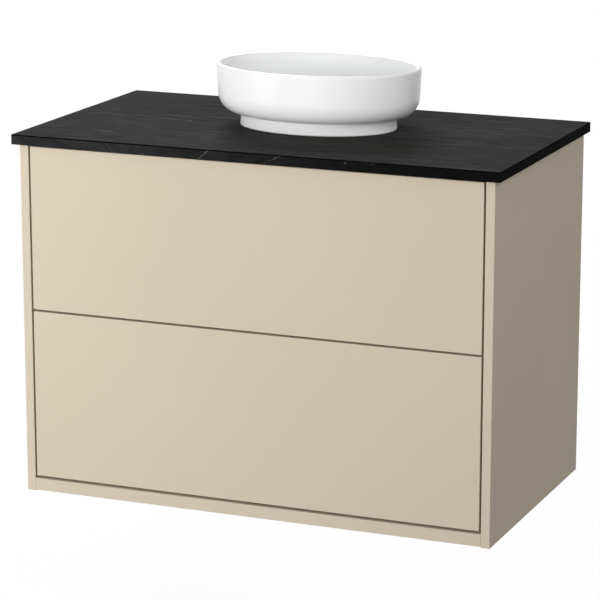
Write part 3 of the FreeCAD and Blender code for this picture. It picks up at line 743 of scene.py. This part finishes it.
def ring(mesh, radius, height, count):
    step = 2 * math.pi / count
    return [mesh.verts.new((radius * math.cos(step * i), radius * math.sin(step * i), height))
            for i in range(count)]


def bridge(mesh, lower, upper):
    for i in range(len(lower)):
        after = (i + 1) % len(lower)
        mesh.faces.new((lower[i], lower[after], upper[after], upper[i]))


def closedLoop(mesh, verts):
    edges = []
    for first, second in zip(verts, verts[1:] + verts[:1]):
        edges.append(mesh.edges.get((first, second)) or mesh.edges.new((first, second)))
    return edges


def crossOutline(mesh, reach, half, height):
    points = []
    for quarter in range(4):
        for x, y in ((half, half), (half, reach), (-half, reach)):
            turned = ((x, y), (-y, x), (-x, -y), (y, -x))[quarter]
            points.append(mesh.verts.new((turned[0], turned[1], height)))
    return points


def screwMesh(name, radius, headHeight, length):
    # pan head with a tapered cross recess, on a pointed shank that points down
    look = screwLook
    count = look["segments"]
    shank = look["shankRadius"]
    bottom = headHeight - length
    profile = [(shank, bottom + shank * look["pointLength"]), (shank, 0), (radius, 0)]
    profile += [(radius * across, headHeight * up) for across, up in look["dome"]]
    mesh = bmesh.new()
    tip = mesh.verts.new((0, 0, bottom))
    rings = [ring(mesh, across, height, count) for across, height in profile]
    for i in range(count):
        mesh.faces.new((tip, rings[0][(i + 1) % count], rings[0][i]))
    for lower, upper in zip(rings, rings[1:]):
        bridge(mesh, lower, upper)
    reach = radius * look["recessReach"]
    half = radius * look["recessHalf"]
    taper = look["recessTaper"]
    mouth = crossOutline(mesh, reach, half, headHeight)
    floor = crossOutline(mesh, reach * taper, half * taper, headHeight * (1 - look["recessDepth"]))
    bridge(mesh, mouth, floor)
    for outline in (closedLoop(mesh, rings[-1]) + closedLoop(mesh, mouth), closedLoop(mesh, floor)):
        bmesh.ops.triangle_fill(mesh, use_beauty=True, edges=outline)
    bmesh.ops.recalc_face_normals(mesh, faces=mesh.faces)
    data = bpy.data.meshes.new(name)
    mesh.to_mesh(data)
    mesh.free()
    return data


def screwTree():
    tree, given, out = newTree("screwSet", {"Geometry": "Geometry", "Screw": "Object", "Turn Seed": "Int",
                                            "Finish": "Material"})
    points = addNode(tree, "GeometryNodeMeshToPoints", Mesh=given["Geometry"])
    way = addNode(tree, "GeometryNodeInputNamedAttribute", {"data_type": "FLOAT_VECTOR"}, Name="headway")
    aimed = addNode(tree, "FunctionNodeAlignRotationToVector", {"axis": "Z"}, Vector=way.outputs[0])
    angle = addNode(tree, "FunctionNodeRandomValue", {"data_type": "FLOAT"}, Seed=given["Turn Seed"])
    angle.inputs[2].default_value = 0.0             # its lowest and highest float
    angle.inputs[3].default_value = 2 * math.pi
    spin = addNode(tree, "FunctionNodeAxisAngleToRotation", Axis=(0, 0, 1), Angle=angle.outputs[1])
    turned = addNode(tree, "FunctionNodeRotateRotation", {"rotation_space": "LOCAL"},
                     Rotation=aimed.outputs[0], Rotate_By=spin.outputs[0])
    screw = addNode(tree, "GeometryNodeObjectInfo", Object=given["Screw"])
    placed = addNode(tree, "GeometryNodeInstanceOnPoints", Points=points.outputs[0],
                     Instance=screw.outputs["Geometry"], Rotation=turned.outputs[0])
    closeTree(tree, placed.outputs[0], given["Finish"], out)
    return tree


def islands(node):
    # boxes of the separate solids in a CAD node
    mesh = bmesh.new()
    mesh.from_mesh(cadNodes[node].data)
    bmesh.ops.remove_doubles(mesh, verts=mesh.verts, dist=screwLook["weld"])
    boxes = []
    seen = set()
    for start in mesh.verts:
        if start in seen:
            continue
        seen.add(start)
        queue = [start]
        found = []
        while queue:
            vert = queue.pop()
            found.append(vert.co.copy())
            for edge in vert.link_edges:
                other = edge.other_vert(vert)
                if other not in seen:
                    seen.add(other)
                    queue.append(other)
        low = Vector([min(co[i] for co in found) for i in range(3)])
        high = Vector([max(co[i] for co in found) for i in range(3)])
        boxes.append((low, high))
    mesh.free()
    return boxes


def screwPoints(name, boxes, axis, headHeight):
    # a point under each head, which is on the side that faces into the cabinet or the drawer
    seats = []
    ways = []
    for low, high in boxes:
        middle = (low + high) / 2
        inward = -1.0 if axis == 0 and middle.x > 0 else 1.0
        way = Vector((0, 0, 0))
        way[axis] = inward
        seat = middle.copy()
        seat[axis] = (high[axis] if inward > 0 else low[axis]) - inward * headHeight
        seats.append(seat)
        ways.append(way)
    points = bpy.data.meshes.new(name)
    points.from_pydata(seats, [], [])
    headway = points.attributes.new("headway", "FLOAT_VECTOR", "POINT")
    for item, way in zip(headway.data, ways):
        item.vector = way
    return points


def screwSet(tree, node, body, axisName, headHeight):
    # screws stand where the CAD has them and take their width and length from there
    axis = "XYZ".index(axisName)
    boxes = islands(node)
    points = screwPoints(node + "_points", boxes, axis, headHeight)
    low, high = boxes[0]
    across = (axis + 1) % 3
    radius = (high[across] - low[across]) / 2
    mesh = screwMesh(node + "_pattern", radius, headHeight, high[axis] - low[axis])
    pattern = bpy.data.objects.new(node + "_pattern", mesh)
    piece = grow(node + "_recessed", points, tree, {"Screw": pattern, "Turn Seed": screwLook["turnSeed"],
                                                    "Finish": finishes["zinc_steel"]})
    bpy.data.objects.remove(pattern)
    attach(piece, body)
    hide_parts(node)


def placeScrews():
    tree = screwTree()
    for node, body, axisName, headHeight in screwSets:
        screwSet(tree, node, body, axisName, headHeight)


placeScrews()
print("screws with cross recess in place")


threadLook = {
    "radius": 0.0209,
    "pitch": 0.0023,
    "ridge": 0.0005,
    "ridgeSides": 5,
    "steps": 48,            # to each turn
    "endGap": 0.0016,       # left free above the inlet nut and below the locknut
}


def threadTree():
    tree, given, out = newTree("tailThread", {"Geometry": "Geometry", "Radius": "Float", "Turns": "Float",
                                              "Length": "Float", "Ridge": "Float", "Ridge Sides": "Int",
                                              "Steps": "Int", "Foot": "Vector", "Finish": "Material"})
    helix = addNode(tree, "GeometryNodeCurveSpiral", Resolution=given["Steps"], Rotations=given["Turns"],
                    Start_Radius=given["Radius"], End_Radius=given["Radius"], Height=given["Length"])
    ridge = addNode(tree, "GeometryNodeCurvePrimitiveCircle", Resolution=given["Ridge Sides"],
                    Radius=given["Ridge"])
    swept = addNode(tree, "GeometryNodeCurveToMesh", Curve=helix.outputs[0],
                    Profile_Curve=ridge.outputs[0], Fill_Caps=True)
    moved = addNode(tree, "GeometryNodeTransform", Geometry=swept.outputs[0], Translation=given["Foot"])
    closeTree(tree, moved.outputs[0], given["Finish"], out)
    return tree


def wasteThread():
    look = threadLook
    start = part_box("trap_inlet_nut")[1].z + look["endGap"]
    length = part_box("waste_locknut")[0].z - start - look["endGap"]
    low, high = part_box("waste_bottom_seal")
    centre = (low + high) / 2
    piece = grow("waste_thread", bpy.data.meshes.new("waste_thread"), threadTree(), {
        "Radius": look["radius"], "Turns": length / look["pitch"], "Length": length,
        "Ridge": look["ridge"], "Ridge Sides": look["ridgeSides"], "Steps": look["steps"],
        "Foot": (centre.x, centre.y, start), "Finish": finishes["chrome"]})
    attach(piece, "carcass")


wasteThread()
print("waste thread in place")


gripLook = {
    "count": 12,
    "ribRadius": 0.0011,
    "ribSegments": 10,
    "ribRings": 8,
    "lengthShare": 0.72,    # of the nut's length
    "flatShare": 0.966,     # of the nut's radius
}
gripNuts = [("trap_inlet_nut", "Z"), ("trap_top_nut", "Z"), ("trap_outlet_nut", "Y")]


def gripTree():
    tree, given, out = newTree("nutGrip", {
        "Geometry": "Geometry", "Radius": "Float", "Count": "Int", "Rib Radius": "Float",
        "Rib Length": "Float", "Rib Segments": "Int", "Rib Rings": "Int", "First Turn": "Vector",
        "Axis Turn": "Vector", "Centre": "Vector", "Finish": "Material"})
    circle = addNode(tree, "GeometryNodeMeshCircle", Vertices=given["Count"], Radius=given["Radius"])
    points = addNode(tree, "GeometryNodeMeshToPoints", Mesh=circle.outputs[0])
    ball = addNode(tree, "GeometryNodeMeshUVSphere", Segments=given["Rib Segments"],
                   Rings=given["Rib Rings"], Radius=given["Rib Radius"])
    slender = calc(tree, "DIVIDE", given["Rib Length"], given["Rib Radius"])
    drawn = addNode(tree, "ShaderNodeCombineXYZ", X=1.0, Y=1.0, Z=slender)
    rib = addNode(tree, "GeometryNodeTransform", Geometry=ball.outputs[0], Scale=drawn.outputs[0])
    placed = addNode(tree, "GeometryNodeInstanceOnPoints", Points=points.outputs[0],
                     Instance=rib.outputs[0])
    first = addNode(tree, "GeometryNodeTransform", Geometry=placed.outputs[0])
    tilted = addNode(tree, "GeometryNodeTransform", Geometry=first.outputs[0], Translation=given["Centre"])
    for node, turn in ((first, "First Turn"), (tilted, "Axis Turn")):
        euler = addNode(tree, "FunctionNodeEulerToRotation", Euler=given[turn])
        tree.links.new(euler.outputs[0], node.inputs["Rotation"])
    closeTree(tree, tilted.outputs[0], given["Finish"], out)
    return tree


def nutGrips():
    look = gripLook
    tree = gripTree()
    for node, axisName in gripNuts:
        axis = "XYZ".index(axisName)
        low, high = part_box(node)
        length = high[axis] - low[axis]
        piece = grow(node + "_grip", bpy.data.meshes.new(node + "_grip"), tree, {
            "Radius": (high.x - low.x) / 2 * look["flatShare"], "Count": look["count"],
            "Rib Radius": look["ribRadius"], "Rib Length": length * look["lengthShare"] / 2,
            "Rib Segments": look["ribSegments"], "Rib Rings": look["ribRings"],
            "First Turn": (0, 0, math.pi / look["count"]),
            "Axis Turn": (math.pi / 2 if axisName == "Y" else 0, 0, 0),
            "Centre": tuple((low + high) / 2), "Finish": finishes["trap_plastic"]})
        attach(piece, "carcass")


nutGrips()
print("grip ribs on the trap nuts")


# floor, world and lamps

stageLook = {
    "floorHeight": -0.58,
    "half": 20.0,
    "bounce": (0.2, 0.2, 0.2, 1),       # the floor as it lights the object
    "seen": (0.95, 0.95, 0.95, 1),      # the floor as it takes the shadow in view
    "ground": {"Color": (1, 1, 1, 1), "Strength": 1.0},
    "shadowShare": 0.05,
    "shadowFade": (1.2, 3.5),           # distances from the origin
    "fill": {"Color": (0.972, 0.988, 1.0, 1), "Strength": 0.29},
}
# power in watts
lampSet = {
    "frontSoftbox": {"place": (-0.4, -4.6, 0.3), "size": 2.0, "power": 70.5},
    "frontHighSoftbox": {"place": (-0.4, -4.4, 1.7), "size": 2.0, "power": 49.5},
    "leftSoftbox": {"place": (-1.4, -1.72, 0.32), "size": 0.9, "power": 13.4},
    "rightSoftbox": {"place": (3.2, -0.9, 1.8), "size": 2.0, "power": 35.6},
    "backSoftbox": {"place": (-1.6, 2.2, 2.4), "size": 1.4, "power": 92.0},
}
lampAim = (0.0, -0.4, 0.05)
lampTint = (1.0, 0.992, 0.98)


def seenDirectly(tree):
    path = tree.nodes.new("ShaderNodeLightPath").outputs
    seen = calc(tree, "MAXIMUM", path["Is Camera Ray"], path["Is Glossy Ray"])
    return calc(tree, "MAXIMUM", seen, path["Is Transmission Ray"])


def mixShaders(tree, share, lit, ground, output):
    mixed = addNode(tree, "ShaderNodeMixShader")
    for socket, value in zip(mixed.inputs, (share, lit.outputs[0], ground.outputs[0])):
        tree.links.new(value, socket)
    tree.links.new(mixed.outputs[0], tree.nodes[output].inputs["Surface"])


def floorFinish():
    material = bpy.data.materials.new("paleFloor")
    material.use_nodes = True
    tree = material.node_tree
    tree.nodes.remove(tree.nodes["Principled BSDF"])
    direct = seenDirectly(tree)
    tone = blendColour(tree, direct, stageLook["bounce"], stageLook["seen"])
    matt = addNode(tree, "ShaderNodeBsdfDiffuse", Color=tone)
    glow = addNode(tree, "ShaderNodeEmission", **stageLook["ground"])
    # the shadow shows near the object; further out the floor goes over into the white ground
    place = tree.nodes.new("ShaderNodeTexCoord").outputs["Object"]
    away = addNode(tree, "ShaderNodeVectorMath", {"operation": "LENGTH"}, Vector=place).outputs["Value"]
    shadow = remap(tree, away, *stageLook["shadowFade"], stageLook["shadowShare"], 0.0)
    share = calc(tree, "MULTIPLY", direct, calc(tree, "SUBTRACT", 1.0, shadow))
    mixShaders(tree, share, matt, glow, "Material Output")
    return material


def makeFloor():
    half = stageLook["half"]
    height = stageLook["floorHeight"]
    corners = [(-half, -half, height), (half, -half, height), (half, half, height), (-half, half, height)]
    mesh = bpy.data.meshes.new("paleFloor")
    mesh.from_pydata(corners, [], [(0, 1, 2, 3)])
    mesh.materials.append(floorFinish())
    floor = bpy.data.objects.new("paleFloor", mesh)
    bpy.context.scene.collection.objects.link(floor)


def makeWorld():
    world = bpy.data.worlds.new("softStudio")
    world.use_nodes = True
    tree = world.node_tree
    fill = tree.nodes["Background"]
    for label, value in stageLook["fill"].items():
        fill.inputs[label].default_value = value
    white = addNode(tree, "ShaderNodeBackground", **stageLook["ground"])
    mixShaders(tree, seenDirectly(tree), fill, white, "World Output")
    bpy.context.scene.world = world


def makeLamps():
    for name, look in lampSet.items():
        lamp = bpy.data.lights.new(name, "AREA")
        lamp.shape = "SQUARE"
        lamp.size = look["size"]
        lamp.energy = look["power"]
        lamp.color = lampTint
        holder = bpy.data.objects.new(name, lamp)
        holder.location = look["place"]
        holder.visible_camera = False
        way = Vector(lampAim) - Vector(look["place"])
        holder.rotation_euler = way.to_track_quat("-Z", "Y").to_euler()
        bpy.context.scene.collection.objects.link(holder)


placeCamera()
makeFloor()
makeWorld()
makeLamps()
bpy.context.scene.view_settings.view_transform = "Standard"
print("camera, floor, world and lamps in place")
